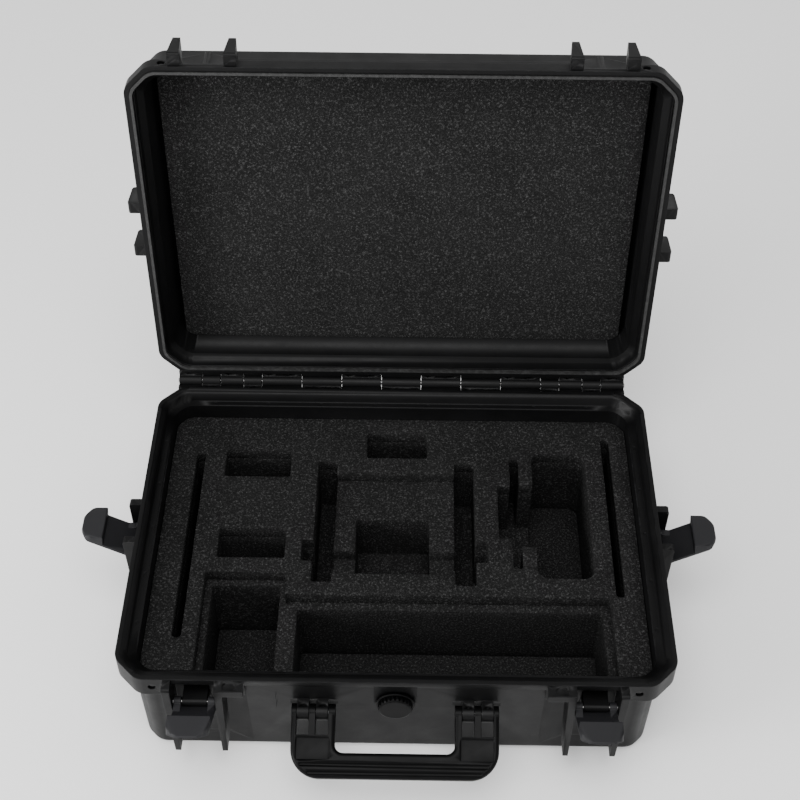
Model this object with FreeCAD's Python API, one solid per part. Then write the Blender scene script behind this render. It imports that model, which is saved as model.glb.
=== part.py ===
import FreeCAD
import Part
import math
import os

# Hard moulded carrying case for a small drone, shown open. Millimetres.
# Origin: centre of the underside of the base. +X right, +Y towards the hinge, +Z up.

# ---- overall sizes ----
RIM_LENGTH = 545.0
RIM_WIDTH = 387.0
BASE_HEIGHT = 147.0
LID_HEIGHT = 62.0
LID_OPEN_ANGLE = 95.0

# ---- rim and walls ----
RIM_CHAMFER = 24.0
RIM_CORNER = 18.0
BODY_INSET = 13.0
WALL = 5.5
DRAFT = 2.5
FLOOR = 6.0
BODY_EDGE = 12.0
BEAD_WIDTH = 4.6
LEDGE_DROP = 1.5
LEDGE_INSET = 9.8
DECK_BELOW_RIM = 8.0
STEP_DROP = 11.5
SHOULDER_INSET = 6.0
SHOULDER = 4.0
SKIRT_WALL = 3.5
BASE_SKIRT = 25.5
LID_SKIRT = 14.5
LID_BODY_INSET = 10.0
LID_WALL = 6.5
LID_DECK = 4.0
LID_STEP = 14.0
LID_TOP = 4.5
LID_EDGE = 9.0
DIMPLE_RADIUS = 2.2
DIMPLE_DEPTH = 0.6
DIMPLE_PITCH = 60.0
DIMPLES_LONG = 8
DIMPLES_SHORT = 5
RIM_GAP = 0.35
FIT = 0.3

# ---- seal of the lid ----
GROOVE_INSET = 5.2
GROOVE_WIDTH = 3.0
GROOVE_DEPTH = 5.0
GROOVE_ROOF = 3.0
LIP_BACK = 2.0
SEAL_GAP = 0.1
SEAL_ABOVE_LEDGE = 0.25

# ---- hinge ----
HINGE_OFFSET = 11.0
KNUCKLE_RADIUS = 6.5
KNUCKLE_GAP = 1.0
KNUCKLE_SCOOP = 0.6
ROD_RADIUS = 2.5
ROD_CLEARANCE = 0.08
HINGE_HALF = 253.0
CENTRE_KNUCKLE = 45.0
WIDE_KNUCKLE = 45.3
NARROW_KNUCKLE = 21.0
END_KNUCKLE = 26.0
KNUCKLE_DEPTH = 13.0
CORE_LENGTH = 7.5
CORE_WIDTH = 2.6
CORE_DEPTH = 5.0

# ---- latches ----
FRONT_LATCH_X = 194.0
LATCH_WIDTH = 40.2
LATCH_BAY = 42.0
PIVOT_BELOW_RIM = 32.0
PIVOT_OUT = 3.5
LATCH_OPEN_ANGLE = 58.0
LATCH_REACH = 60.3
HOOK_ROOT = 35.7
HOOK_NOSE = 41.1
NOSE_IN = 6.5
WEB_OUT = 8.0
WEB = 3.0
HEEL = 9.0
BARREL = 7.0
BARREL_RADIUS = 5.0
BARREL_FOOT = 13.0
GRIP_CROWN = 7.0
GRIP_CORNER = 16.0
GRIP_SIDE = 6.0
PIN_RADIUS = 2.0
PIN_SEAT = 0.03
PIN_CLEARANCE = 0.06
LUG_SIDE_GAP = 1.1
LUG_RADIUS = 4.4
CATCH_HEIGHT = 7.2
CATCH_SLOPE = 1.2

# ---- fins that guard the latches ----
FIN_OUT = 12.5
FIN_EDGE = 3.0
FIN_TIP = 2.4
BASE_FIN_THICK = 8.0
BASE_FIN_THIN = 5.0
BASE_FIN_END = 32.0
BASE_FIN_END_OUT = 11.5
BASE_FIN_BELOW_RIM = 0.5
LID_FIN_THICK = 12.5
LID_FIN_TAPER = 3.0
LID_FIN_LENGTH = 40.0
LID_FIN_START = 4.0
NUB_RADIUS = 3.5
NUB_LENGTH = 42.0
PAD_WIDTH = 28.0
PAD_THICK = 10.0
PAD_EDGE = 2.0
PAD_RECESS_LENGTH = 13.2
PAD_RECESS_WIDTH = 7.8
PAD_RECESS_DEPTH = 2.0
PADLOCK_RADIUS = 4.0
PADLOCK_X = 234.0
PADLOCK_BELOW = 13.0
PADLOCK_ABOVE = 8.0

# ---- front panel, handle ----
PANEL_HALF = 145.0
PANEL_BELOW_RIM = 7.2
PANEL_GROOVE = 0.8
PANEL_OUT = 10.0
PANEL_FOOT_IN = 1.6
PANEL_EDGE = 1.5
HANDLE_PIVOT_OUT = 4.5
HANDLE_PIVOT_Z = 101.0
HANDLE_DROOP = 25.0
HANDLE_HALF = 100.8
HANDLE_REACH = 63.5
HANDLE_WINDOW = 58.0
GRIP_DEPTH = 24.5
HANDLE_THICK = 15.0
HANDLE_CORNER = 28.0
WINDOW_CORNER = 8.0
HANDLE_ROUND = 4.0
HUB_RADIUS = 8.0
FINGER = 7.2
HANDLE_LUG = 11.6
HANDLE_LUG_POCKET = 5.0
HANDLE_SIDE_GAP = 0.4
HANDLE_SLOT = 22.5
HANDLE_PANEL_START = 25.4
HANDLE_PANEL_END = 45.6
HANDLE_PANEL_SIDE = 5.0
HANDLE_PANEL_DEPTH = 2.0
GRIP_GROOVES = (50.5, 58.4)
GRIP_GROOVE = 3.6
GRIP_GROOVE_DEPTH = 2.2
GRIP_GROOVE_END = 4.5
HANDLE_PIN_RADIUS = 2.5
SCOOP = 12.0

# ---- ribs on the lid's outside ----
RIBS = 4
RIB_LENGTH = 400.0
RIB_WIDTH = 18.0
RIB_PITCH = 70.0
RIB_HEIGHT = 2.0
RIB_EDGE = 1.2

# ---- pressure valve ----
VALVE_Z = 103.0
VALVE_NOTCH = 21.0
VALVE_FACE_IN = 6.5
VALVE_BODY_RADIUS = 9.0
VALVE_FLANGE_RADIUS = 19.0
VALVE_FLANGE = 2.6
VALVE_KNOB_RADIUS = 17.0
VALVE_KNOB = 5.4
VALVE_DOME = 3.0
VALVE_RIBS = 24
VALVE_FLUTE = 1.3
VALVE_STEM_RADIUS = 4.0
VALVE_STEM = 4.0
VALVE_SEAL_BACK = 3.0
NUT_RADIUS = 14.0
NUT = 3.6
SEAL_RING = 1.2

# ---- foam ----
FOAM_GAP = 0.4
FOAM_PAD = 15.0
FOAM_TOP = 15.0
FOAM_BELOW_RIM = 29.0
LID_FOAM = 13.0
LID_FOAM_SIDE = 25.0
LAYER_GAP = 0.1

RIM_Z = BASE_HEIGHT
LEDGE_Z = RIM_Z - LEDGE_DROP
DECK_Z = RIM_Z - DECK_BELOW_RIM
STEP_Z = RIM_Z - STEP_DROP
PANEL_TOP = RIM_Z - PANEL_BELOW_RIM
LUG_WIDTH = LATCH_WIDTH - 2 * (BARREL + LUG_SIDE_GAP)
CAVITY_INSET = BODY_INSET + WALL
LID_CAVITY_INSET = LID_BODY_INSET + LID_WALL
HINGE_Y = RIM_WIDTH / 2 + HINGE_OFFSET
LID_TOP_Z = RIM_Z + LID_HEIGHT
PIVOT_Z = RIM_Z - PIVOT_BELOW_RIM
FOAM_TOP_Z = RIM_Z - FOAM_BELOW_RIM
CORE_TOP_Z = FOAM_TOP_Z - FOAM_TOP
PAD_TOP_Z = FLOOR + FOAM_PAD
HUGE = 1000.0
CORNER_SHARE = 1.6

X_AXIS = FreeCAD.Vector(1, 0, 0)
Y_AXIS = FreeCAD.Vector(0, 1, 0)
Z_AXIS = FreeCAD.Vector(0, 0, 1)
ORIGIN = FreeCAD.Vector(0, 0, 0)


# ---------------------------------------------------------------- helpers

def on_xy(level):
    return lambda a, b: FreeCAD.Vector(a, b, level)


def on_yz(level):
    return lambda a, b: FreeCAD.Vector(level, a, b)


def on_xz(level):
    return lambda a, b: FreeCAD.Vector(a, level, b)


def rounded_wire(points, radii, place):
    """Closed wire through points, each corner replaced by a tangent arc."""
    count = len(points)
    stops = []
    for i in range(count):
        here = FreeCAD.Vector(*points[i], 0)
        came = (here - FreeCAD.Vector(*points[i - 1], 0)).normalize()
        goes = (FreeCAD.Vector(*points[(i + 1) % count], 0) - here).normalize()
        half_turn = math.acos(max(-1.0, min(1.0, came.dot(goes)))) / 2
        radius = radii[i]
        back = radius * math.tan(half_turn)
        inward = (goes - came).normalize()
        middle = here + inward * (radius / math.cos(half_turn) - radius)
        stops.append((here - came * back, middle, here + goes * back))
    edges = []
    for i in range(count):
        start, middle, end = [place(p.x, p.y) for p in stops[i]]
        before = stops[i - 1][2]
        edges.append(Part.LineSegment(place(before.x, before.y), start).toShape())
        if radii[i] > 0:
            edges.append(Part.Arc(start, middle, end).toShape())
    return Part.Wire(edges)


def prism(points, radii, place, push):
    """Solid made by pushing a rounded outline along a vector."""
    if not isinstance(radii, list):
        radii = [radii] * len(points)
    return Part.Face(rounded_wire(points, radii, place)).extrude(push)


def rim_wire(inset, level):
    """The case's outline, moved inwards by inset, at one height."""
    x = RIM_LENGTH / 2 - inset
    y = RIM_WIDTH / 2 - inset
    cut = RIM_CHAMFER - inset * (2 - math.sqrt(2))
    points = [(x - cut, -y), (x, -y + cut), (x, y - cut), (x - cut, y),
              (-x + cut, y), (-x, y - cut), (-x, -y + cut), (-x + cut, -y)]
    return rounded_wire(points, [min(RIM_CORNER, CORNER_SHARE * cut)] * 8, on_xy(level))


def rim_block(inset, low, high):
    return Part.Face(rim_wire(inset, low)).extrude(Z_AXIS * (high - low))


def rim_ring(outer_inset, inner_inset, low, high):
    return rim_block(outer_inset, low, high).cut(rim_block(inner_inset, low - 1, high + 1))


def draft_block(low_inset, high_inset, low, high):
    return Part.makeLoft([rim_wire(low_inset, low), rim_wire(high_inset, high)], True, True)


def box(x_low, x_high, y_low, y_high, z_low, z_high):
    corner = FreeCAD.Vector(x_low, y_low, z_low)
    return Part.makeBox(x_high - x_low, y_high - y_low, z_high - z_low, corner)


def rod(radius, centre, axis, length):
    return Part.makeCylinder(radius, length, centre, axis)


def rod_x(radius, x_low, x_high, y, z):
    return rod(radius, FreeCAD.Vector(x_low, y, z), X_AXIS, x_high - x_low)


def edges_at(shape, level, tolerance=0.01):
    """Edges that lie wholly at one height."""
    found = []
    for edge in shape.Edges:
        bounds = edge.BoundBox
        if abs(bounds.ZMin - level) < tolerance and abs(bounds.ZMax - level) < tolerance:
            found.append(edge)
    return found


def mirrored(shape):
    return shape.mirror(ORIGIN, X_AXIS)


def both_sides(shape):
    return [shape, mirrored(shape)]


def join(first, others):
    return first.fuse(others).removeSplitter()


def opened(shape):
    """Turn a lid piece from closed to its open rest position."""
    turned = shape.copy()
    turned.rotate(FreeCAD.Vector(0, HINGE_Y, RIM_Z), X_AXIS, -LID_OPEN_ANGLE)
    return turned


# The four latch stations: middle of the bay on the rim's face, and the turn
# about Z that brings "outwards is -Y" to that side of the case.
STATIONS = {
    "front_left": (-FRONT_LATCH_X, -RIM_WIDTH / 2, 0),
    "front_right": (FRONT_LATCH_X, -RIM_WIDTH / 2, 0),
    "side_left": (-RIM_LENGTH / 2, 0.0, -90),
    "side_right": (RIM_LENGTH / 2, 0.0, 90),
}


def at_station(shape, station):
    """Place a shape made with the rim's face at y = 0 and outwards at -y."""
    x, y, turn = STATIONS[station]
    moved = shape.copy()
    moved.rotate(ORIGIN, Z_AXIS, turn)
    moved.translate(FreeCAD.Vector(x, y, 0))
    return moved


# ---------------------------------------------------------------- fins and latch bay

def fin(profile, radii, near, far, thick, thin, inner_taper):
    """A fin beside the bay, at +x, that thins out from its root at near to its tip at far."""
    inner = LATCH_BAY / 2
    side = prism(profile, radii, on_yz(inner), X_AXIS * thick)
    tip = inner + inner_taper
    width = [(inner, near), (inner + thick, near), (tip + thin, far), (tip, far)]
    wedge = prism(width, [0, 0, FIN_TIP, FIN_TIP], on_xz(-HUGE / 2), Y_AXIS * HUGE)
    return side.common(wedge)


def base_fins():
    top = RIM_Z - BASE_FIN_BELOW_RIM
    root = BODY_INSET + WALL / 2
    profile = [(root, top), (-FIN_OUT, top), (-BASE_FIN_END_OUT, BASE_FIN_END), (root, BASE_FIN_END)]
    radii = [0, FIN_EDGE, 2 * FIN_EDGE, 0]
    return both_sides(fin(profile, radii, top, BASE_FIN_END, BASE_FIN_THICK, BASE_FIN_THIN, 0))


def lid_fins():
    start = RIM_Z + LID_FIN_START
    end = RIM_Z + LID_FIN_LENGTH
    root = LID_BODY_INSET + LID_WALL / 2
    profile = [(root, start), (-FIN_OUT, start), (-FIN_OUT, end), (root, end)]
    radii = [0, FIN_EDGE, 2 * FIN_EDGE, 0]
    thin = LID_FIN_THICK - 2 * LID_FIN_TAPER
    return both_sides(fin(profile, radii, start, end, LID_FIN_THICK, thin, LID_FIN_TAPER))


def lid_nub():
    """Half-round rib on the lid's wall between the fins of a front station."""
    centre = FreeCAD.Vector(0, LID_BODY_INSET + DRAFT, RIM_Z + LID_SKIRT / 2)
    return rod(NUB_RADIUS, centre, Z_AXIS, NUB_LENGTH)


def latch_lug():
    """Middle lug of a base bay: carries the pin and stops the open latch's heel."""
    wall = BODY_INSET + WALL / 2
    open_angle = math.radians(90 - LATCH_OPEN_ANGLE)
    stop_y = -PIVOT_OUT + HEEL * math.cos(open_angle) - (WEB_OUT - WEB) * math.sin(open_angle) + FIT
    side = X_AXIS * LUG_WIDTH
    left = on_yz(-LUG_WIDTH / 2)
    low = PIVOT_Z - LUG_RADIUS
    arm = prism([(wall, low), (wall, low + 2 * LUG_RADIUS), (-PIVOT_OUT, low + 2 * LUG_RADIUS),
                 (-PIVOT_OUT, low)], 0, left, side)
    stop = prism([(wall, low - 12), (wall, low + 2), (stop_y, low + 2), (stop_y, low - 8)], 0, left, side)
    knuckle = rod_x(LUG_RADIUS, -LUG_WIDTH / 2, LUG_WIDTH / 2, -PIVOT_OUT, PIVOT_Z)
    return arm.fuse([stop, knuckle])


def latch_pin():
    half = (LATCH_BAY + BASE_FIN_THICK + BASE_FIN_THIN) / 2
    return rod_x(PIN_RADIUS, -half, half, -PIVOT_OUT, PIVOT_Z)


def pin_hole(clearance):
    half = LATCH_BAY / 2 + BASE_FIN_THICK + 1
    return rod_x(PIN_RADIUS + clearance, -half, half, -PIVOT_OUT, PIVOT_Z)


def pad_block():
    """Flat pad at the top of a front fin, on its handle side, with an oval recess."""
    top = RIM_Z - BASE_FIN_BELOW_RIM
    inner = LATCH_BAY / 2
    pad = box(inner, inner + PAD_WIDTH, -FIN_OUT, BODY_INSET, top - PAD_THICK, top)
    pad = pad.makeFillet(PAD_EDGE, edges_at(pad, top - PAD_THICK))
    left = inner + (PAD_WIDTH - PAD_RECESS_LENGTH) / 2
    right = left + PAD_RECESS_LENGTH
    front = -(FIN_OUT + PAD_RECESS_WIDTH) / 2
    back = front + PAD_RECESS_WIDTH
    outline = [(left, front), (right, front), (right, back), (left, back)]
    radius = PAD_RECESS_WIDTH / 2 - PIN_CLEARANCE
    return pad.cut(prism(outline, radius, on_xy(top - PAD_RECESS_DEPTH), Z_AXIS * (PAD_RECESS_DEPTH + 1)))


# ---------------------------------------------------------------- hinge

def knuckle_spans():
    """Stretches of the hinge from the middle to one end: (start, end, owner)."""
    widths = [CENTRE_KNUCKLE / 2, WIDE_KNUCKLE, WIDE_KNUCKLE, WIDE_KNUCKLE,
              NARROW_KNUCKLE, END_KNUCKLE, NARROW_KNUCKLE]
    spans = []
    start = 0.0
    owner = "base"
    for width in widths:
        spans.append((start, start + width, owner))
        owner = "lid" if owner == "base" else "base"
        start += width
    spans.append((start, HINGE_HALF, owner))
    return spans


def knuckle(start, end, rises, cores):
    """One knuckle along X, its web reaching back to the rim; rises is +1 lid, -1 base."""
    face = RIM_WIDTH / 2
    level = RIM_Z + rises * RIM_GAP
    far = RIM_Z + rises * KNUCKLE_DEPTH
    web = [(face - SKIRT_WALL / 2, level), (HINGE_Y, level),
           (HINGE_Y + KNUCKLE_RADIUS * 0.7, RIM_Z + rises * KNUCKLE_RADIUS * 0.72),
           (face - SKIRT_WALL / 2, far)]
    shape = prism(web, 0, on_yz(start), X_AXIS * (end - start))
    shape = shape.fuse(rod_x(KNUCKLE_RADIUS, start, end, HINGE_Y, RIM_Z))
    pitch = (end - start) / cores
    for i in range(cores):
        x = start + pitch * (i + 0.5)
        y = (face + HINGE_Y - KNUCKLE_RADIUS) / 2
        z_low = level - (CORE_DEPTH if rises < 0 else 1)
        pocket = box(x - CORE_LENGTH / 2, x + CORE_LENGTH / 2, y - CORE_WIDTH / 2, y + CORE_WIDTH / 2,
                     z_low, z_low + CORE_DEPTH + 1)
        shape = shape.cut(pocket)
    return shape


def knuckle_scoop(start, end, rises):
    """Edge hollowed to lie close round the other shell's knuckle; rises is +1 lid, -1 base."""
    level = RIM_Z + rises * RIM_GAP
    far = RIM_Z + rises * KNUCKLE_RADIUS
    block = box(start, end, RIM_WIDTH / 2 - SKIRT_WALL / 2, HINGE_Y - KNUCKLE_RADIUS / 2,
                min(level, far), max(level, far))
    return block.cut(rod_x(KNUCKLE_RADIUS + KNUCKLE_SCOOP, start - 1, end + 1, HINGE_Y, RIM_Z))


def knuckles(owner):
    rises = 1 if owner == "lid" else -1
    shapes = []
    for start, end, belongs in knuckle_spans():
        if belongs != owner:
            scoop = knuckle_scoop(start if start > 0 else -end, end, rises)
            shapes += [scoop] if start == 0 else both_sides(scoop)
            continue
        low = start + KNUCKLE_GAP / 2 if start > 0 else -end + KNUCKLE_GAP / 2
        high = end - KNUCKLE_GAP / 2
        wide = end - start > (NARROW_KNUCKLE + WIDE_KNUCKLE) / 2 or start == 0
        cores = (2 if owner == "lid" else 3) if wide else 1
        shape = knuckle(low, high, rises, cores)
        shapes += [shape] if start == 0 else both_sides(shape)
    return shapes


def rod_hole():
    return rod_x(ROD_RADIUS + ROD_CLEARANCE, -HINGE_HALF - 5, HINGE_HALF + 5, HINGE_Y, RIM_Z)


def hinge_rod():
    shape = rod_x(ROD_RADIUS, -HINGE_HALF - 1, HINGE_HALF + 1, HINGE_Y, RIM_Z)
    return shape.makeChamfer(0.6, [e for e in shape.Edges if e.Closed])


# ---------------------------------------------------------------- rim dimples

def dimple_points():
    """Places of the ejector dimples, evenly along the rim's four sides."""
    inset = (LEDGE_INSET + CAVITY_INSET) / 2
    x_edge = RIM_LENGTH / 2 - inset
    y_edge = RIM_WIDTH / 2 - inset
    points = []
    for i in range(DIMPLES_LONG):
        x = DIMPLE_PITCH * (i - (DIMPLES_LONG - 1) / 2)
        points += [(x, -y_edge), (x, y_edge)]
    for i in range(DIMPLES_SHORT):
        y = DIMPLE_PITCH * (i - (DIMPLES_SHORT - 1) / 2)
        points += [(-x_edge, y), (x_edge, y)]
    return points


# ---------------------------------------------------------------- handle lugs and front panel

def front_panel():
    """Proud panel between the front latches; leans back to the wall at the foot."""
    face = -RIM_WIDTH / 2 + BODY_INSET - PANEL_OUT
    inside = -RIM_WIDTH / 2 + BODY_INSET + WALL / 2
    foot = -RIM_WIDTH / 2 + BODY_INSET + PANEL_FOOT_IN
    profile = [(inside, BODY_EDGE), (inside, PANEL_TOP), (face, PANEL_TOP), (foot, BODY_EDGE)]
    return prism(profile, [0, 0, PANEL_EDGE, 0], on_yz(-PANEL_HALF), X_AXIS * 2 * PANEL_HALF)


def above_panel():
    """What the skirt leaves free over the front panel, so that the panel shows whole."""
    low = RIM_Z - BASE_SKIRT - 1
    return box(-PANEL_HALF, PANEL_HALF, -RIM_WIDTH / 2 - 1, -RIM_WIDTH / 2 + SKIRT_WALL + 1,
               low, PANEL_TOP + PANEL_GROOVE)


def handle_pivot():
    return -RIM_WIDTH / 2 - HANDLE_PIVOT_OUT, HANDLE_PIVOT_Z


def handle_lug_starts():
    inner = HANDLE_WINDOW + FINGER
    return [inner, inner + HANDLE_LUG + FINGER]


def handle_lugs():
    y, z = handle_pivot()
    wall = -RIM_WIDTH / 2 + BODY_INSET
    shapes = []
    for start in handle_lug_starts():
        end = start + HANDLE_LUG
        block = box(start, end, y, wall, z - HUB_RADIUS, z + HUB_RADIUS)
        lug = block.fuse(rod_x(HUB_RADIUS, start, end, y, z))
        middle = (start + end) / 2
        half = HANDLE_LUG_POCKET / 2
        pocket = box(middle - half, middle + half, y + 1, y + HANDLE_LUG_POCKET,
                     z + HUB_RADIUS - HANDLE_LUG_POCKET, z + HUB_RADIUS + 1)
        lug = lug.cut(pocket)
        shapes += both_sides(lug)
    return shapes


def handle_cutters():
    """Scoops in the panel that leave the handle's fingers room to turn."""
    y, z = handle_pivot()
    scoop = rod_x(SCOOP, HANDLE_WINDOW - 2, HANDLE_HALF + 2, y, z)
    return both_sides(scoop)


def handle_pin():
    y, z = handle_pivot()
    return rod_x(HANDLE_PIN_RADIUS, HANDLE_WINDOW + 0.5, HANDLE_HALF - 0.5, y, z)


# ---------------------------------------------------------------- pressure valve

def valve_wall_face():
    return -RIM_WIDTH / 2 + VALVE_FACE_IN


def valve_inner_face():
    return -RIM_WIDTH / 2 + CAVITY_INSET


def valve_rod(radius, y_low, y_high):
    return rod(radius, FreeCAD.Vector(0, y_low, VALVE_Z), Y_AXIS, y_high - y_low)


def valve_notch():
    """Recess in the front panel, open at the top, round below the knob."""
    half = VALVE_NOTCH
    top = PANEL_TOP + PANEL_GROOVE
    outline = [(-half, VALVE_Z - half), (half, VALVE_Z - half), (half, top), (-half, top)]
    depth = Y_AXIS * (PANEL_OUT + BODY_INSET)
    return prism(outline, [half - 1, half - 1, 0, 0], on_xz(valve_wall_face() - depth.y), depth)


def valve_holes():
    face = valve_inner_face()
    hole = valve_rod(VALVE_BODY_RADIUS + 0.1, face - 40, face + 5)
    return hole.fuse(valve_rod(NUT_RADIUS + FIT, face - NUT - 0.5, face + 5))


def valve_parts():
    wall = valve_wall_face()
    inner = valve_inner_face()
    seal_low = wall - SEAL_RING
    seal = valve_rod(VALVE_FLANGE_RADIUS - VALVE_SEAL_BACK, seal_low, wall).cut(
        valve_rod(VALVE_BODY_RADIUS + 0.3, seal_low - 1, wall + 1))
    flange_low = seal_low - VALVE_FLANGE
    housing = valve_rod(VALVE_FLANGE_RADIUS, flange_low, seal_low)
    housing = housing.makeFillet(1.0, edges_far_front(housing))
    housing = housing.fuse(valve_rod(VALVE_BODY_RADIUS, seal_low, inner - 0.3))
    housing = housing.fuse(valve_rod(VALVE_STEM_RADIUS, flange_low - VALVE_STEM, flange_low))
    knob_low = flange_low - FIT - VALVE_KNOB
    knob = valve_rod(VALVE_KNOB_RADIUS, knob_low, flange_low - FIT)
    knob = knob.makeFillet(VALVE_DOME, edges_far_front(knob))
    for i in range(VALVE_RIBS):
        angle = 2 * math.pi * i / VALVE_RIBS
        flute = rod(VALVE_FLUTE, FreeCAD.Vector(VALVE_KNOB_RADIUS * math.cos(angle), knob_low - 1,
                                                 VALVE_Z + VALVE_KNOB_RADIUS * math.sin(angle)),
                    Y_AXIS, VALVE_KNOB + 2)
        knob = knob.cut(flute)
    stem_hole = valve_rod(VALVE_STEM_RADIUS + PIN_CLEARANCE, flange_low - VALVE_STEM - FIT, flange_low + 1)
    knob = knob.cut(stem_hole)
    nut = valve_rod(NUT_RADIUS, inner - NUT, inner - 0.2).cut(
        valve_rod(VALVE_BODY_RADIUS + 0.05, inner - NUT - 1, inner + 1))
    return {"valve_seal": seal, "valve_housing": housing, "valve_knob": knob, "valve_nut": nut}


def edges_far_front(shape):
    """Round edges at the -Y end of a shape."""
    front = shape.BoundBox.YMin
    return [e for e in shape.Edges if e.Closed and abs(e.BoundBox.YMax - front) < 0.01]


# ---------------------------------------------------------------- shells

def cavity_inset_at(level):
    """How far the base's inner wall is inside the rim's outline, at one height."""
    return CAVITY_INSET + DRAFT * (RIM_Z - level) / BASE_HEIGHT


def lid_inset_at(level):
    return LID_CAVITY_INSET + DRAFT * (level - RIM_Z) / LID_HEIGHT


def padlock_hole(x, level):
    centre = FreeCAD.Vector(x, -RIM_WIDTH / 2 - 1, level)
    return rod(PADLOCK_RADIUS, centre, Y_AXIS, SKIRT_WALL + 2)


def base_skirt():
    """Skirt under the rim, open at the latch bays and over the front panel."""
    skirt = rim_ring(0, SKIRT_WALL, RIM_Z - BASE_SKIRT, LEDGE_Z)
    bay = box(-LATCH_BAY / 2, LATCH_BAY / 2, -HUGE / 10, SKIRT_WALL + 1, 0, DECK_Z)
    bays = [at_station(bay, station) for station in STATIONS]
    return skirt.cut(bays + [above_panel()])


def base_shell():
    body = draft_block(BODY_INSET + DRAFT, BODY_INSET, 0, STEP_Z)
    body = body.makeFillet(BODY_EDGE, edges_at(body, 0))
    deck = rim_ring(0, CAVITY_INSET, DECK_Z, LEDGE_Z)
    shoulder = rim_ring(SHOULDER_INSET, CAVITY_INSET + DRAFT, STEP_Z - SHOULDER, DECK_Z)
    bead = rim_ring(0, BEAD_WIDTH, LEDGE_Z, RIM_Z)
    shape = join(body, [base_skirt(), deck, shoulder, bead, front_panel()])
    shape = shape.cut(handle_cutters() + [valve_notch()])
    extras = handle_lugs() + knuckles("base")
    for station in STATIONS:
        for piece in base_fins() + [latch_lug()]:
            extras.append(at_station(piece, station))
    extras.append(at_station(pad_block(), "front_left"))
    extras.append(at_station(mirrored(pad_block()), "front_right"))
    shape = shape.fuse(extras)
    cavity = draft_block(cavity_inset_at(FLOOR), cavity_inset_at(STEP_Z), FLOOR, STEP_Z)
    over_step = rim_block(LEDGE_INSET, STEP_Z, RIM_Z + 1)
    over_ledge = rim_block(BEAD_WIDTH, LEDGE_Z, RIM_Z + 1)
    cutters = [cavity, over_step, over_ledge, rod_hole(), valve_holes()]
    y, z = handle_pivot()
    pin_seat = rod_x(HANDLE_PIN_RADIUS + PIN_SEAT, HANDLE_WINDOW - 2, HANDLE_HALF + 2, y, z)
    cutters += both_sides(pin_seat)
    cutters += both_sides(padlock_hole(PADLOCK_X, RIM_Z - PADLOCK_BELOW))
    for station in STATIONS:
        cutters.append(at_station(pin_hole(PIN_SEAT), station))
    for x, y in dimple_points():
        foot = FreeCAD.Vector(x, y, STEP_Z - DIMPLE_DEPTH)
        cutters.append(rod(DIMPLE_RADIUS, foot, Z_AXIS, DIMPLE_DEPTH + 1))
    return shape.cut(cutters)


def lid_skirt(low):
    """Skirt over the rim; in each bay it stops at the edge that the latch hooks on."""
    skirt = rim_ring(0, SKIRT_WALL, low, RIM_Z + LID_SKIRT)
    catch = RIM_Z + CATCH_HEIGHT
    profile = [(-HUGE / 10, catch - CATCH_SLOPE), (0, catch - CATCH_SLOPE), (SKIRT_WALL + 1, catch),
               (SKIRT_WALL + 1, HUGE), (-HUGE / 10, HUGE)]
    bay = prism(profile, 0, on_yz(-LATCH_BAY / 2), X_AXIS * LATCH_BAY)
    return skirt.cut([at_station(bay, station) for station in STATIONS])


def lid_shell():
    low = RIM_Z + RIM_GAP
    step = RIM_Z + LID_STEP
    roof = RIM_Z + GROOVE_DEPTH + GROOVE_ROOF
    body = draft_block(LID_BODY_INSET, LID_BODY_INSET + DRAFT, low, LID_TOP_Z)
    body = body.makeFillet(LID_EDGE, edges_at(body, LID_TOP_Z))
    deck = rim_ring(0, LID_CAVITY_INSET, low, low + LID_DECK)
    groove_block = rim_ring(BEAD_WIDTH, LID_CAVITY_INSET, low, roof)
    shoulder = rim_ring(SHOULDER_INSET, LID_CAVITY_INSET + DRAFT, roof, step + SHOULDER)
    shape = join(body, [lid_skirt(low), deck, groove_block, shoulder])
    extras = knuckles("lid") + lid_top_ribs()
    for station in STATIONS:
        for piece in lid_fins():
            extras.append(at_station(piece, station))
    for station in ("front_left", "front_right"):
        extras.append(at_station(lid_nub(), station))
    shape = shape.fuse(extras)
    top = LID_TOP_Z - LID_TOP
    under = RIM_Z - 1
    cavity = draft_block(lid_inset_at(step), lid_inset_at(top), step, top)
    below_step = rim_block(LEDGE_INSET, under, step)
    below_lip = rim_block(GROOVE_INSET, under, RIM_Z + LIP_BACK)
    groove = rim_ring(GROOVE_INSET, GROOVE_INSET + GROOVE_WIDTH, under, RIM_Z + GROOVE_DEPTH)
    holes = both_sides(padlock_hole(PADLOCK_X, RIM_Z + PADLOCK_ABOVE))
    return shape.cut([cavity, below_step, below_lip, groove, rod_hole()] + holes)


def lid_top_ribs():
    """Low ribs moulded along the outside of the lid."""
    ribs = []
    half = RIB_LENGTH / 2
    for i in range(RIBS):
        low = RIB_PITCH * (i - (RIBS - 1) / 2) - RIB_WIDTH / 2
        outline = [(-half, low), (half, low), (half, low + RIB_WIDTH), (-half, low + RIB_WIDTH)]
        rib = prism(outline, RIB_WIDTH / 3, on_xy(LID_TOP_Z - 1), Z_AXIS * (RIB_HEIGHT + 1))
        ribs.append(rib.makeFillet(RIB_EDGE, edges_at(rib, LID_TOP_Z + RIB_HEIGHT)))
    return ribs


def lid_seal():
    low = LEDGE_Z + SEAL_ABOVE_LEDGE
    return rim_ring(GROOVE_INSET + SEAL_GAP, GROOVE_INSET + GROOVE_WIDTH - SEAL_GAP, low,
                    RIM_Z + GROOVE_DEPTH - SEAL_GAP)


# ---------------------------------------------------------------- latch

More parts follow.
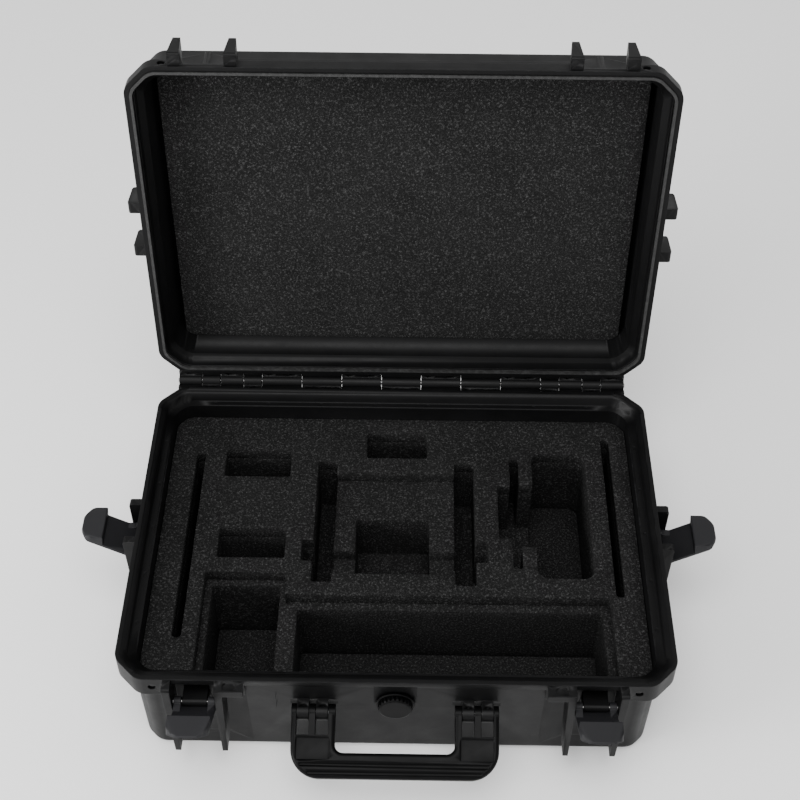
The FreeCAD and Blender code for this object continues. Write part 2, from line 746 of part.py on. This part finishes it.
def latch():
    """One lever in its closed position; the pivot is on y = -PIVOT_OUT."""
    half = LATCH_WIDTH / 2
    web_in = WEB_OUT - WEB
    strap = [(-WEB_OUT, -HEEL), (-web_in, -HEEL), (-web_in, HOOK_ROOT), (NOSE_IN, HOOK_NOSE),
             (-WEB_OUT + 2.0, LATCH_REACH), (-WEB_OUT, LATCH_REACH)]
    shape = prism(strap, [1, 1, 1.2, 1.2, 0.8, 0.8], on_yz(-half), X_AXIS * LATCH_WIDTH)
    foot = [(-web_in - 1, -BARREL_RADIUS), (0, -BARREL_RADIUS), (BARREL_RADIUS, 0), (0, BARREL_RADIUS),
            (-web_in - 1, BARREL_FOOT)]
    ends = []
    for start in (-half, half - BARREL):
        ends.append(prism(foot, 0, on_yz(start), X_AXIS * BARREL))
        ends.append(rod_x(BARREL_RADIUS, start, start + BARREL, 0, 0))
    shape = join(shape, ends)
    shoulder = LATCH_REACH - GRIP_CROWN
    plan = [(-half, -HUGE / 10), (half, -HUGE / 10), (half, shoulder), (half / 2, LATCH_REACH),
            (-half / 2, LATCH_REACH), (-half, shoulder)]
    radii = [0, 0, GRIP_SIDE, GRIP_CORNER, GRIP_CORNER, GRIP_SIDE]
    shape = shape.common(prism(plan, radii, on_xz(-HUGE / 10), Y_AXIS * HUGE / 5))
    return shape.cut(rod_x(PIN_RADIUS + PIN_CLEARANCE, -half - 1, half + 1, 0, 0))


def open_latch():
    shape = latch()
    shape.rotate(ORIGIN, X_AXIS, LATCH_OPEN_ANGLE)
    shape.translate(FreeCAD.Vector(0, -PIVOT_OUT, PIVOT_Z))
    return shape


# ---------------------------------------------------------------- handle

def handle_side_slots():
    slots = []
    for start in handle_lug_starts():
        low = start - HANDLE_SIDE_GAP
        high = start + HANDLE_LUG + HANDLE_SIDE_GAP
        slots += both_sides(box(low, high, -HANDLE_SLOT, HUB_RADIUS + 2, -HANDLE_THICK, HANDLE_THICK))
    return slots


def grip_groove(distance, face):
    """Groove along the grip, ending a little inside the handle's rounded corner."""
    rise = distance - (HANDLE_REACH - HANDLE_CORNER)
    corner_left = HANDLE_CORNER - math.sqrt(HANDLE_CORNER ** 2 - rise ** 2)
    reach = HANDLE_HALF - corner_left - GRIP_GROOVE_END
    half = GRIP_GROOVE / 2
    outline = [(-reach, -distance - half), (reach, -distance - half), (reach, -distance + half),
               (-reach, -distance + half)]
    floor = on_xy(face - GRIP_GROOVE_DEPTH)
    return prism(outline, half - PIN_CLEARANCE, floor, Z_AXIS * 2 * GRIP_GROOVE_DEPTH)


def carry_handle():
    """Handle held straight out, pivot at the origin, outwards at -y."""
    half = HANDLE_HALF
    thick = HANDLE_THICK / 2
    grip_in = HANDLE_REACH - GRIP_DEPTH
    outline = [(-half, 0), (-half, -HANDLE_REACH), (half, -HANDLE_REACH), (half, 0), (HANDLE_WINDOW, 0),
               (HANDLE_WINDOW, -grip_in), (-HANDLE_WINDOW, -grip_in), (-HANDLE_WINDOW, 0)]
    radii = [0, HANDLE_CORNER, HANDLE_CORNER, 0, 0, WINDOW_CORNER, WINDOW_CORNER, 0]
    shape = prism(outline, radii, on_xy(-thick), Z_AXIS * HANDLE_THICK)
    long_edges = []
    for edge in edges_at(shape, thick) + edges_at(shape, -thick):
        if edge.BoundBox.YMin < -1:
            long_edges.append(edge)
    shape = shape.makeFillet(HANDLE_ROUND, long_edges)
    hubs = []
    for side in (-1, 1):
        low = min(side * half, side * HANDLE_WINDOW)
        high = max(side * half, side * HANDLE_WINDOW)
        hubs.append(rod_x(HUB_RADIUS, low, high, 0, 0))
    shape = join(shape, hubs)
    cutters = handle_side_slots()
    for face in (thick, -thick):
        inner = HANDLE_WINDOW + HANDLE_PANEL_SIDE
        outer = HANDLE_HALF - HANDLE_PANEL_SIDE
        panel = [(inner, -HANDLE_PANEL_END), (outer, -HANDLE_PANEL_END), (outer, -HANDLE_PANEL_START),
                 (inner, -HANDLE_PANEL_START)]
        sunk = on_xy(face - HANDLE_PANEL_DEPTH)
        cutters += both_sides(prism(panel, 1.5, sunk, Z_AXIS * 2 * HANDLE_PANEL_DEPTH))
        for distance in GRIP_GROOVES:
            cutters.append(grip_groove(distance, face))
    hole = rod_x(HANDLE_PIN_RADIUS + PIN_CLEARANCE, HANDLE_WINDOW - 2, HANDLE_HALF + 2, 0, 0)
    cutters += both_sides(hole)
    shape = shape.cut(cutters)
    y, z = handle_pivot()
    shape.rotate(ORIGIN, X_AXIS, HANDLE_DROOP)
    shape.translate(FreeCAD.Vector(0, y, z))
    return shape


# ---------------------------------------------------------------- foam

def foam_sheet(low, high):
    return draft_block(cavity_inset_at(low) + FOAM_GAP, cavity_inset_at(high) + FOAM_GAP, low, high)


class Pocket:
    """A cut-out in the base foam, given by its centre, size and floor."""

    def __init__(self, centre, size, floor, radius=3.0, wide=(0, 0, 0, 0)):
        self.centre = centre
        self.size = size
        self.floor = floor
        self.radius = radius
        self.wide = wide

    def cutter(self, low, high, widened=False):
        (x, y), (length, width) = self.centre, self.size
        left, right, front, back = self.wide if widened else (0, 0, 0, 0)
        x_low = x - length / 2 - left
        x_high = x + length / 2 + right
        y_low = y - width / 2 - front
        y_high = y + width / 2 + back
        points = [(x_low, y_low), (x_high, y_low), (x_high, y_high), (x_low, y_high)]
        return prism(points, self.radius, on_xy(low), Z_AXIS * (high - low))


DEEP = PAD_TOP_Z
SHALLOW = CORE_TOP_Z
SKID_FLOOR = 41.0
CROSS_FLOOR = 88.0
POCKETS = {
    "propeller_slot_left": Pocket((-221.2, -2.5), (9.5, 245.0), SKID_FLOOR, 4.6),
    "propeller_slot_right": Pocket((229.5, 39.0), (9.0, 216.0), SKID_FLOOR, 4.4),
    "battery_back": Pocket((-156.7, 106.0), (72.6, 38.0), DEEP + 10),
    "battery_front": Pocket((-155.0, -5.0), (71.0, 38.0), DEEP + 10),
    "charger": Pocket((-3.4, 134.2), (66.7, 36.5), DEEP + 10),
    "cables": Pocket((-157.5, -106.0), (71.0, 112.0), DEEP, 3.0, (7, 7, 4, 7)),
    "bag": Pocket((54.0, -119.5), (314.0, 81.0), DEEP, 3.0, (12, 8, 6.5, 8.5)),
    "skid_left": Pocket((-79.5, 28.0), (21.0, 164.0), SKID_FLOOR),
    "skid_right": Pocket((71.0, 26.0), (22.0, 166.0), SKID_FLOOR),
    "leg_left": Pocket((-93.5, -13.2), (17.0, 27.6), SKID_FLOOR),
    "leg_right": Pocket((86.0, -13.0), (18.0, 28.0), SKID_FLOOR),
    "drone_body": Pocket((-4.0, 25.5), (140.0, 137.0), SHALLOW),
    "cross_groove": Pocket((-3.5, -15.0), (170.0, 24.0), CROSS_FLOOR),
    "gimbal": Pocket((-6.5, -1.0), (79.0, 82.0), SKID_FLOOR),
    "controller_clamp": Pocket((126.0, 41.5), (10.0, 151.0), SKID_FLOOR),
    "controller_side": Pocket((117.0, 41.5), (20.0, 71.0), DEEP + 20),
    "controller_neck": Pocket((139.0, 37.5), (20.0, 85.0), DEEP + 20),
    "controller_body": Pocket((175.5, 39.5), (59.0, 171.0), DEEP, 12.0),
}


def foam_layer(low, high, widened):
    shape = foam_sheet(low, high)
    cutters = []
    for pocket in POCKETS.values():
        if pocket.floor < high - 0.5:
            start = pocket.floor if pocket.floor > low + 0.5 else low - 1
            cutters.append(pocket.cutter(start, high + 1, widened))
    return shape.cut(cutters) if cutters else shape


def foam_parts():
    lid_top = LID_TOP_Z - LID_TOP - LAYER_GAP
    lid_low = lid_top - LID_FOAM
    low_inset = lid_inset_at(lid_low) + FOAM_GAP
    high_inset = lid_inset_at(lid_top) + FOAM_GAP
    lid_sheet = draft_block(low_inset, high_inset, lid_low, lid_top)
    half = RIM_LENGTH / 2 - LID_FOAM_SIDE
    lid_sheet = lid_sheet.common(box(-half, half, -HUGE / 2, HUGE / 2, lid_low - 1, lid_top + 1))
    return {
        "foam_base_pad": foam_layer(FLOOR + LAYER_GAP, PAD_TOP_Z, False),
        "foam_core": foam_layer(PAD_TOP_Z + LAYER_GAP, CORE_TOP_Z, False),
        "foam_top_layer": foam_layer(CORE_TOP_Z + LAYER_GAP, FOAM_TOP_Z, True),
        "lid_foam": opened(lid_sheet),
    }


# ---------------------------------------------------------------- all the pieces

def all_parts():
    parts = {
        "base_shell": base_shell(),
        "lid_shell": opened(lid_shell()),
        "lid_seal": opened(lid_seal()),
        "hinge_rod": hinge_rod(),
        "carry_handle": carry_handle(),
        "handle_pin_right": handle_pin(),
        "handle_pin_left": mirrored(handle_pin()),
    }
    for station in STATIONS:
        parts["latch_" + station] = at_station(open_latch(), station)
        parts["latch_pin_" + station] = at_station(latch_pin(), station)
    parts.update(valve_parts())
    parts.update(foam_parts())
    return parts


os.makedirs("parts", exist_ok=True)
for name, shape in all_parts().items():
    solids = shape.Solids
    print(name, "solids", len(solids), "valid", shape.isValid(), "volume", round(shape.Volume / 1000, 1))
    result = solids[0] if len(solids) == 1 else Part.makeCompound(solids)
    result.exportStep(os.path.join("parts", name + ".step"))
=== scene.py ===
import math

import bmesh
import bpy
from mathutils import Matrix, Vector, noise


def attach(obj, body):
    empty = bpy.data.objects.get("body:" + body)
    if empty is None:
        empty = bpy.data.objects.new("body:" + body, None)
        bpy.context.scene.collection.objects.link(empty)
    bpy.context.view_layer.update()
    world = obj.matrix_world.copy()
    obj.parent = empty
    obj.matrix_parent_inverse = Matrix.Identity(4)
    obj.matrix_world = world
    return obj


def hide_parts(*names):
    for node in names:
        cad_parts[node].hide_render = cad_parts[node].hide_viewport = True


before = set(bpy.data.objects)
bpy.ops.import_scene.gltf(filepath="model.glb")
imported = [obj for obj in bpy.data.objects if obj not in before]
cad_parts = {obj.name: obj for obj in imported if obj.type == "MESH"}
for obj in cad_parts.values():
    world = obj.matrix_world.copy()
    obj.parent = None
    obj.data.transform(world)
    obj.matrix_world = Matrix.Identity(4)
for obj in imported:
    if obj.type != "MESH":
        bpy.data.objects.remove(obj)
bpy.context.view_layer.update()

# ------------------------------------------------------------------ sizes, in metres
WELD = 0.000004
FOAM_EDGE = 0.0012
FOAM_STEP = 0.012
FOAM_WAVE = 0.00035
FOAM_WAVELENGTH = 0.035
WAVE_SEED = 4
FLAT_ANGLE = math.radians(1.5)
SHARP_ANGLE = math.radians(38)
SMOOTH_ANGLE = math.radians(32)
FLAT_FACE_WEIGHT = 90

LATCHES = ("front_left", "front_right", "side_left", "side_right")


# ------------------------------------------------------------------ small helpers

def deselect_all():
    for item in bpy.context.selected_objects:
        item.select_set(False)


def only(piece):
    """Make one object the selected and active one."""
    deselect_all()
    piece.select_set(True)
    bpy.context.view_layer.objects.active = piece


def finish_modifiers(piece):
    only(piece)
    for modifier in list(piece.modifiers):
        bpy.ops.object.modifier_apply(modifier=modifier.name)


def smooth(piece):
    only(piece)
    bpy.ops.object.shade_smooth_by_angle(angle=SMOOTH_ANGLE)


def level_normals(piece):
    """Let the large flat faces set the shading at their edges, so that they look flat."""
    only(piece)
    level = piece.modifiers.new("level", "WEIGHTED_NORMAL")
    level.mode = "FACE_AREA"
    level.weight = FLAT_FACE_WEIGHT
    level.keep_sharp = True
    finish_modifiers(piece)


def merged_copy(node, name, whole_faces=True):
    """A copy of a CAD piece, its points welded and, if asked, its triangles joined into faces."""
    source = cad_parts[node]
    piece = bpy.data.objects.new(name, source.data.copy())
    bpy.context.scene.collection.objects.link(piece)
    piece.data.materials.clear()
    mesh = bmesh.new()
    mesh.from_mesh(piece.data)
    bmesh.ops.remove_doubles(mesh, verts=mesh.verts, dist=WELD)
    if whole_faces:
        bmesh.ops.dissolve_limit(mesh, angle_limit=FLAT_ANGLE, verts=mesh.verts, edges=mesh.edges)
    mesh.to_mesh(piece.data)
    mesh.free()
    return piece


def round_edges(piece, width):
    """Round every sharp edge of a piece by one width."""
    bevel = piece.modifiers.new("edges", "BEVEL")
    bevel.width = width
    bevel.segments = 2
    bevel.limit_method = "ANGLE"
    bevel.angle_limit = SHARP_ANGLE
    bevel.use_clamp_overlap = False
    bevel.harden_normals = False
    bevel.miter_outer = "MITER_SHARP"
    finish_modifiers(piece)


def moulded(node, body, material):
    """A CAD piece with its curved faces smooth and its flat faces level, shown in its place."""
    piece = merged_copy(node, node + "_moulded", whole_faces=False)
    smooth(piece)
    level_normals(piece)
    piece.data.materials.append(material)
    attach(piece, body)
    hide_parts(node)


# ------------------------------------------------------------------ materials

def grey(level, blue=0.0):
    """A grey, bluer by the given amount."""
    return level, level, level + blue


class Nodes:
    """A short way to write a node tree."""

    def __init__(self, name):
        self.material = bpy.data.materials.new(name)
        self.material.use_nodes = True
        self.tree = self.material.node_tree
        self.shader = self.tree.nodes["Principled BSDF"]
        self.place = self.tree.nodes.new("ShaderNodeTexCoord").outputs["Object"]

    def add(self, kind, **settings):
        node = self.tree.nodes.new(kind)
        for key, value in settings.items():
            setattr(node, key, value)
        return node

    def link(self, start, end):
        self.tree.links.new(start, end)

    def noise(self, scale, detail=2.0, rough=0.5, place=None):
        node = self.add("ShaderNodeTexNoise")
        node.inputs["Scale"].default_value = scale
        node.inputs["Detail"].default_value = detail
        node.inputs["Roughness"].default_value = rough
        self.link(place or self.place, node.inputs["Vector"])
        return node.outputs["Fac"]

    def cells(self, scale):
        node = self.add("ShaderNodeTexVoronoi", feature="F1")
        node.inputs["Scale"].default_value = scale
        self.link(self.place, node.inputs["Vector"])
        return node.outputs["Distance"]

    def spread(self, value, low, high, to_low=0.0, to_high=1.0):
        node = self.add("ShaderNodeMapRange")
        self.link(value, node.inputs["Value"])
        node.inputs["From Min"].default_value = low
        node.inputs["From Max"].default_value = high
        node.inputs["To Min"].default_value = to_low
        node.inputs["To Max"].default_value = to_high
        return node.outputs["Result"]

    def colours(self, value, stops):
        node = self.add("ShaderNodeValToRGB")
        ramp = node.color_ramp
        while len(ramp.elements) < len(stops):
            ramp.elements.new(0.5)
        for element, (position, colour) in zip(ramp.elements, stops):
            element.position = position
            element.color = (*colour, 1.0)
        self.link(value, node.inputs["Fac"])
        return node.outputs["Color"]

    def blend(self, factor, first, second, mode="MIX"):
        """Mix two colours; the factor is a number or a socket, the second colour too."""
        node = self.add("ShaderNodeMix", data_type="RGBA", blend_type=mode)
        if isinstance(factor, float):
            node.inputs[0].default_value = factor
        else:
            self.link(factor, node.inputs[0])
        self.link(first, node.inputs[6])
        if isinstance(second, tuple):
            node.inputs[7].default_value = (*second, 1.0)
        else:
            self.link(second, node.inputs[7])
        return node.outputs[2]

    def bump(self, height, strength, distance, under=None):
        node = self.add("ShaderNodeBump")
        node.inputs["Strength"].default_value = strength
        node.inputs["Distance"].default_value = distance
        self.link(height, node.inputs["Height"])
        if under is not None:
            self.link(under, node.inputs["Normal"])
        return node.outputs["Normal"]


def moulded_plastic(name, dark, light, rough_low, rough_high, shine, grain=1400.0, edge_wear_and_highlight=0.1):
    """Injection-moulded plastic: fine spark texture, faint flow marks, and paler edges that are
    partly wear and partly a painted highlight where the edges catch the light.
    """
    nodes = Nodes(name)
    cloud = nodes.noise(9.0, 4.0, 0.6)
    base = nodes.colours(nodes.spread(cloud, 0.3, 0.7), [(0.0, dark), (1.0, light)])
    bevel = nodes.add("ShaderNodeBevel", samples=4)
    bevel.inputs["Radius"].default_value = 0.0012
    geometry = nodes.add("ShaderNodeNewGeometry")
    bend = nodes.add("ShaderNodeVectorMath", operation="DOT_PRODUCT")
    nodes.link(bevel.outputs["Normal"], bend.inputs[0])
    nodes.link(geometry.outputs["Normal"], bend.inputs[1])
    edge = nodes.spread(bend.outputs["Value"], 0.995, 0.90)
    # Paler edges, part wear and part painted highlight: the edges are mixed towards a pale grey in
    # patches.
    patch = nodes.noise(70.0, 3.0, 0.7)
    wear_and_highlight = nodes.add("ShaderNodeMath", operation="MULTIPLY")
    nodes.link(edge, wear_and_highlight.inputs[0])
    nodes.link(nodes.spread(patch, 0.42, 0.72, 0.0, edge_wear_and_highlight), wear_and_highlight.inputs[1])
    wear_and_highlit = nodes.blend(wear_and_highlight.outputs[0], base, grey(0.1, 0.005))
    nodes.link(wear_and_highlit, nodes.shader.inputs["Base Color"])
    sheen_patch = nodes.noise(38.0, 5.0, 0.65)
    roughness = nodes.spread(sheen_patch, 0.3, 0.7, rough_low, rough_high)
    nodes.link(roughness, nodes.shader.inputs["Roughness"])
    fine = nodes.noise(grain, 2.0, 0.6)
    broad = nodes.noise(60.0, 2.0, 0.5)
    first = nodes.bump(broad, 0.25, 0.0003, bevel.outputs["Normal"])
    nodes.link(nodes.bump(fine, 0.35, 0.00006, first), nodes.shader.inputs["Normal"])
    nodes.shader.inputs["Specular IOR Level"].default_value = shine
    return nodes.material


def cell_foam(name, dark, light, speck):
    """Charcoal foam: open cells that catch the light as fine pale specks."""
    nodes = Nodes(name)
    cells = nodes.cells(620.0)
    fine = nodes.noise(430.0, 3.0, 0.8)
    broad = nodes.noise(14.0, 3.0, 0.6)
    ground = nodes.colours(nodes.spread(broad, 0.3, 0.7), [(0.0, dark), (1.0, light)])
    speckled = nodes.blend(nodes.spread(fine, 0.52, 0.72), ground, speck)
    # Painted shade: the foam colour is darkened in a cell pattern to stand for shade in the open
    # cells' pits.
    pit_shade = nodes.colours(nodes.spread(cells, 0.1, 0.7), [(0.0, grey(1.0)), (1.0, grey(0.45))])
    pit_shaded = nodes.blend(0.8, speckled, pit_shade, "MULTIPLY")
    nodes.link(pit_shaded, nodes.shader.inputs["Base Color"])
    nodes.shader.inputs["Roughness"].default_value = 0.95
    nodes.shader.inputs["Specular IOR Level"].default_value = 0.05
    first = nodes.bump(cells, 0.6, 0.0005)
    nodes.link(nodes.bump(fine, 0.5, 0.0006, first), nodes.shader.inputs["Normal"])
    return nodes.material


def drawn_steel(name):
    """Steel rod: fine lines along the rod and a little tarnish."""
    nodes = Nodes(name)
    mapping = nodes.add("ShaderNodeMapping")
    mapping.inputs["Scale"].default_value = (20.0, 600.0, 600.0)
    nodes.link(nodes.place, mapping.inputs["Vector"])
    lines = nodes.noise(3.0, 3.0, 0.6, mapping.outputs["Vector"])
    tarnish = nodes.noise(160.0, 3.0, 0.6)
    stops = [(0.0, grey(0.42, 0.01)), (1.0, (0.24, 0.23, 0.22))]
    colour = nodes.colours(nodes.spread(tarnish, 0.35, 0.7), stops)
    nodes.link(colour, nodes.shader.inputs["Base Color"])
    nodes.shader.inputs["Metallic"].default_value = 1.0
    nodes.link(nodes.spread(lines, 0.3, 0.7, 0.28, 0.5), nodes.shader.inputs["Roughness"])
    nodes.link(nodes.bump(lines, 0.3, 0.00004), nodes.shader.inputs["Normal"])
    return nodes.material


def soft_rubber(name):
    """Seal rubber: deep black, dusty, very slightly orange-peeled."""
    nodes = Nodes(name)
    dust = nodes.noise(220.0, 4.0, 0.7)
    colour = nodes.colours(nodes.spread(dust, 0.45, 0.75), [(0.0, grey(0.008)), (1.0, grey(0.03))])
    nodes.link(colour, nodes.shader.inputs["Base Color"])
    nodes.link(nodes.spread(dust, 0.3, 0.7, 0.55, 0.75), nodes.shader.inputs["Roughness"])
    nodes.link(nodes.bump(nodes.noise(900.0), 0.3, 0.00005), nodes.shader.inputs["Normal"])
    return nodes.material


# The shell gets the strongest pale edges, part wear and part painted highlight along the rims.
shell_plastic = moulded_plastic("shell_plastic", grey(0.0022, 0.0001), grey(0.0036, 0.0002),
                                0.4, 0.52, shine=0.13, edge_wear_and_highlight=0.16)
latch_plastic = moulded_plastic("latch_plastic", grey(0.009, 0.001), grey(0.013, 0.0015),
                                0.45, 0.58, shine=0.2, grain=1800.0)
handle_plastic = moulded_plastic("handle_plastic", grey(0.0012, 0.0001), grey(0.0022, 0.0001),
                                 0.34, 0.46, shine=0.07)
base_foam = cell_foam("base_foam", grey(0.011), grey(0.015), grey(0.075))
lid_foam_skin = cell_foam("lid_foam_skin", grey(0.013), grey(0.017), grey(0.085))
steel = drawn_steel("drawn_steel")
rubber = soft_rubber("seal_rubber")


# ------------------------------------------------------------------ shells and fittings

moulded("base_shell", "base", shell_plastic)
moulded("lid_shell", "lid", shell_plastic)
moulded("carry_handle", "handle", handle_plastic)
moulded("valve_knob", "knob", handle_plastic)
moulded("valve_housing", "base", handle_plastic)
for place in LATCHES:
    moulded("latch_" + place, "latch_" + place, latch_plastic)

METAL_PIECES = ["hinge_rod", "handle_pin_left", "handle_pin_right"]
METAL_PIECES += ["latch_pin_" + place for place in LATCHES]
COVERED = dict.fromkeys(METAL_PIECES, steel)
COVERED.update({"lid_seal": rubber, "valve_seal": rubber, "valve_nut": handle_plastic})
for node, material in COVERED.items():
    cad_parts[node].data.materials.clear()
    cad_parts[node].data.materials.append(material)


# ------------------------------------------------------------------ foam

def box_of(piece):
    corners = [v.co for v in piece.data.vertices]
    low = [min(c[i] for c in corners) for i in range(3)]
    high = [max(c[i] for c in corners) for i in range(3)]
    return low, high


def cut_into_squares(piece, step):
    """Divide the faces on a square grid so that the sheet can be uneven."""
    low, high = [Vector(corner) for corner in box_of(piece)]
    mesh = bmesh.new()
    mesh.from_mesh(piece.data)
    for axis in range(3):
        count = int((high[axis] - low[axis]) / step)
        for i in range(1, count + 1):
            point = Vector(low)
            point[axis] = low[axis] + (high[axis] - low[axis]) * i / (count + 1)
            normal = Vector((0, 0, 0))
            normal[axis] = 1.0
            parts = mesh.verts[:] + mesh.edges[:] + mesh.faces[:]
            bmesh.ops.bisect_plane(mesh, geom=parts, plane_co=point, plane_no=normal)
    mesh.to_mesh(piece.data)
    mesh.free()


def uneven(piece):
    """Let the surface rise and fall a little, as cut foam does."""
    for vertex in piece.data.vertices:
        at = vertex.co / FOAM_WAVELENGTH
        shift = noise.noise_vector(at) * 0.6 + noise.noise_vector(at * 3.1) * 0.3
        vertex.co = vertex.co + shift * FOAM_WAVE


def foam_piece(node, body, material):
    piece = merged_copy(node, node + "_cut")
    round_edges(piece, FOAM_EDGE)
    cut_into_squares(piece, FOAM_STEP)
    uneven(piece)
    smooth(piece)
    piece.data.materials.append(material)
    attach(piece, body)
    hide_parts(node)


noise.seed_set(WAVE_SEED)
foam_piece("foam_base_pad", "base", base_foam)
foam_piece("foam_core", "base", base_foam)
foam_piece("foam_top_layer", "base", base_foam)
foam_piece("lid_foam", "lid", lid_foam_skin)


# ------------------------------------------------------------------ camera, light, floor

CAMERA_PLACE = Vector((0.0119, -0.9498, 1.3451))
CAMERA_DOWN = 0.8159
CAMERA_TURN = 0.0115
CAMERA_ROLL = 0.0046
CAMERA_LENS = 65.66


def camera():
    data = bpy.data.cameras.new("camera")
    data.lens = CAMERA_LENS
    data.sensor_width = 36.0
    eye = bpy.data.objects.new("camera", data)
    bpy.context.scene.collection.objects.link(eye)
    turn = Matrix.Rotation(CAMERA_TURN, 4, "Z")
    tip = Matrix.Rotation(math.pi / 2 - CAMERA_DOWN, 4, "X")
    roll = Matrix.Rotation(CAMERA_ROLL, 4, "Z")
    eye.matrix_world = Matrix.Translation(CAMERA_PLACE) @ turn @ tip @ roll
    bpy.context.scene.camera = eye


def soft_light(name, place, target, size, power):
    data = bpy.data.lights.new(name, "AREA")
    data.shape = "DISK"
    data.size = size
    data.energy = power
    lamp = bpy.data.objects.new(name, data)
    bpy.context.scene.collection.objects.link(lamp)
    lamp.location = place
    aim = Vector(target) - Vector(place)
    lamp.rotation_euler = aim.to_track_quat("-Z", "Y").to_euler()


def studio():
    world = bpy.data.worlds.new("studio")
    world.use_nodes = True
    sky = world.node_tree.nodes["Background"]
    sky.inputs["Color"].default_value = (1.0, 1.0, 1.0, 1.0)
    sky.inputs["Strength"].default_value = 1.0
    bpy.context.scene.world = world
    soft_light("key", (-2.1, -1.1, 0.8), (0, -0.1, 0.15), 1.0, 60)
    soft_light("top", (-0.1, -1.0, 2.4), (0, 0, 0.1), 1.6, 48)
    deselect_all()
    bpy.ops.mesh.primitive_plane_add(size=12, location=(0, 0, 0))
    floor = bpy.context.active_object
    floor.name = "floor"
    paper = Nodes("white_paper")
    tone = paper.colours(paper.noise(2.0), [(0.0, grey(0.94)), (1.0, grey(0.96))])
    paper.link(tone, paper.shader.inputs["Base Color"])
    paper.shader.inputs["Roughness"].default_value = 0.9
    floor.data.materials.append(paper.material)


camera()
studio()
